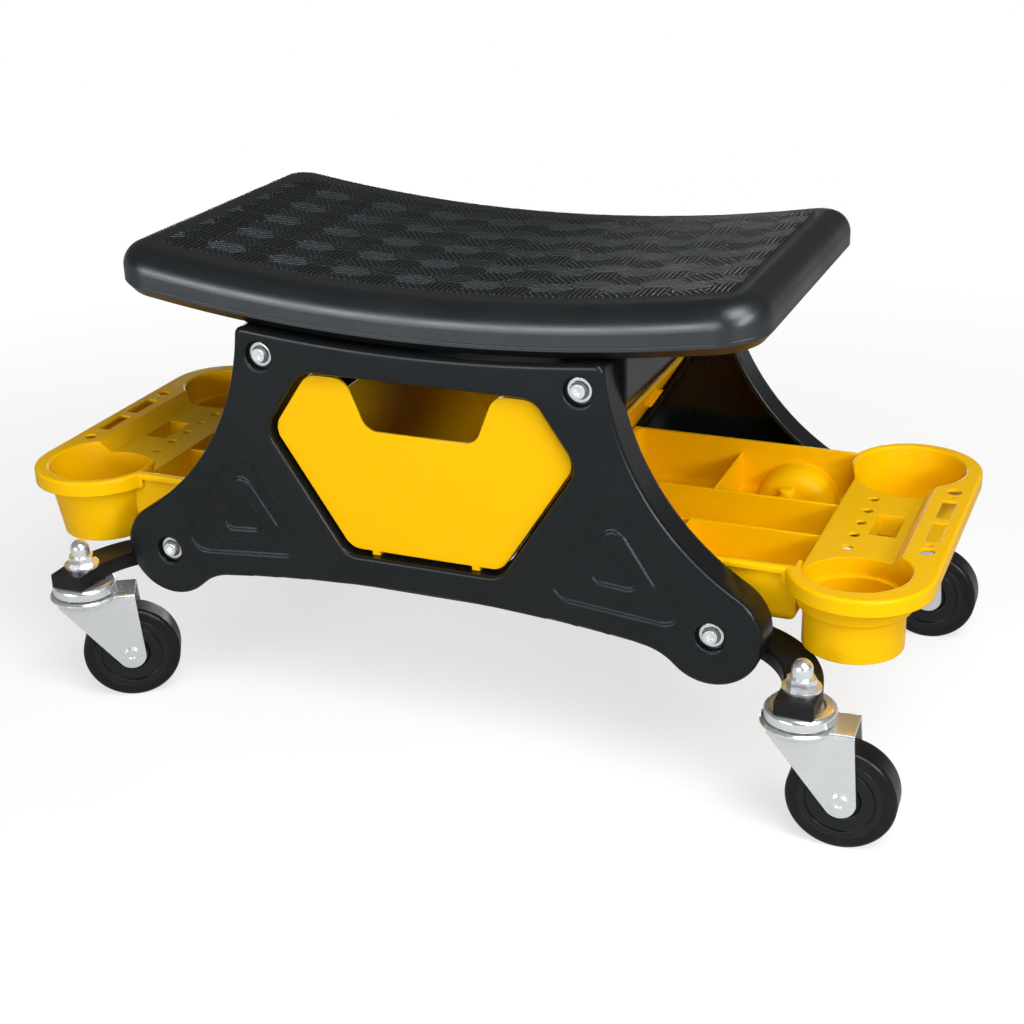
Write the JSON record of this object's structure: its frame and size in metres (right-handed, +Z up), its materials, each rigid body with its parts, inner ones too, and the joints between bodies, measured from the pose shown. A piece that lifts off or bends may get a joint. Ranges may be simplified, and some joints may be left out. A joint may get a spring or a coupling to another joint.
{
  "type": "rolling mechanic seat",
  "caption": "Low rolling work seat with a dished textured top, moulded side panels, a sliding drawer, end tool trays with cups and swivel casters.",
  "frame": {"origin": "on the floor, midway between the ends and the sides", "axes": "+X along the seat, +Y from the drawer front towards the back, +Z up"},
  "size_m": [0.72, 0.383, 0.3661],
  "materials": {
    "seat_plastic": "satin moulded black with a textured top",
    "panel_plastic": "satin moulded black",
    "yellow_plastic": "satin moulded yellow",
    "painted_bar": "black powder coat",
    "zinc_steel": "bright zinc plate",
    "insert_brass": "plain",
    "wheel_plastic": "moulded black",
    "wheel_rubber": "matt"
  },
  "bodies": {
    "chassis": {"seat_top": "seat_plastic", "seat_base": "seat_plastic", "front_panel": "panel_plastic", "rear_panel": "panel_plastic", "left_seat_block": "panel_plastic", "right_seat_block": "panel_plastic", "right_tray": "yellow_plastic", "left_tray": "yellow_plastic", "front_frame_bar": "painted_bar", "rear_frame_bar": "painted_bar", "seat_screws": "zinc_steel", "upper_panel_bolts": "zinc_steel", "upper_panel_washers": "zinc_steel", "lower_panel_bolts": "zinc_steel", "lower_panel_washers": "zinc_steel", "lower_panel_nuts": "zinc_steel", "tray_screws": "zinc_steel", "upper_races": "zinc_steel", "caster_stems": "zinc_steel", "stem_washers": "zinc_steel", "acorn_nuts": "zinc_steel", "threaded_inserts": "insert_brass"},
    "drawer_body": {"drawer": "yellow_plastic"},
    "swivel_left_front": {"fork_left_front": "zinc_steel", "axle_left_front": "zinc_steel", "race_balls_left_front": "zinc_steel"},
    "wheel_left_front": {"wheel_core_left_front": "wheel_plastic", "wheel_tyre_left_front": "wheel_rubber"},
    "swivel_right_front": {"fork_right_front": "zinc_steel", "axle_right_front": "zinc_steel", "race_balls_right_front": "zinc_steel"},
    "wheel_right_front": {"wheel_core_right_front": "wheel_plastic", "wheel_tyre_right_front": "wheel_rubber"},
    "swivel_left_rear": {"fork_left_rear": "zinc_steel", "axle_left_rear": "zinc_steel", "race_balls_left_rear": "zinc_steel"},
    "wheel_left_rear": {"wheel_core_left_rear": "wheel_plastic", "wheel_tyre_left_rear": "wheel_rubber"},
    "swivel_right_rear": {"fork_right_rear": "zinc_steel", "axle_right_rear": "zinc_steel", "race_balls_right_rear": "zinc_steel"},
    "wheel_right_rear": {"wheel_core_right_rear": "wheel_plastic", "wheel_tyre_right_rear": "wheel_rubber"}
  },
  "joints": [
    {"name": "drawer_slide", "type": "slide", "parent": "chassis", "child": "drawer_body", "axis": [0, -1, 0], "range_m": [0, 0.187]},
    {"name": "swivel_left_front", "type": "hinge", "parent": "chassis", "child": "swivel_left_front", "pos_m": [-0.287, -0.164, 0.09], "axis": [0, 0, 1], "continuous": true},
    {"name": "roll_left_front", "type": "hinge", "parent": "swivel_left_front", "child": "wheel_left_front", "pos_m": [-0.26043, -0.14803, 0.038], "axis": [-0.515, 0.8572, 0], "continuous": true},
    {"name": "swivel_right_front", "type": "hinge", "parent": "chassis", "child": "swivel_right_front", "pos_m": [0.287, -0.164, 0.09], "axis": [0, 0, 1], "continuous": true},
    {"name": "roll_right_front", "type": "hinge", "parent": "swivel_right_front", "child": "wheel_right_front", "pos_m": [0.31796, -0.16238, 0.038], "axis": [-0.0523, 0.9986, 0], "continuous": true},
    {"name": "swivel_left_rear", "type": "hinge", "parent": "chassis", "child": "swivel_left_rear", "pos_m": [-0.287, 0.164, 0.09], "axis": [0, 0, 1], "continuous": true},
    {"name": "roll_left_rear", "type": "hinge", "parent": "swivel_left_rear", "child": "wheel_left_rear", "pos_m": [-0.25692, 0.1565, 0.038], "axis": [0.2419, 0.9703, 0], "continuous": true},
    {"name": "swivel_right_rear", "type": "hinge", "parent": "chassis", "child": "swivel_right_rear", "pos_m": [0.287, 0.164, 0.09], "axis": [0, 0, 1], "continuous": true},
    {"name": "roll_right_rear", "type": "hinge", "parent": "swivel_right_rear", "child": "wheel_right_rear", "pos_m": [0.318, 0.16454, 0.038], "axis": [-0.0175, 0.9998, 0], "continuous": true}
  ]
}
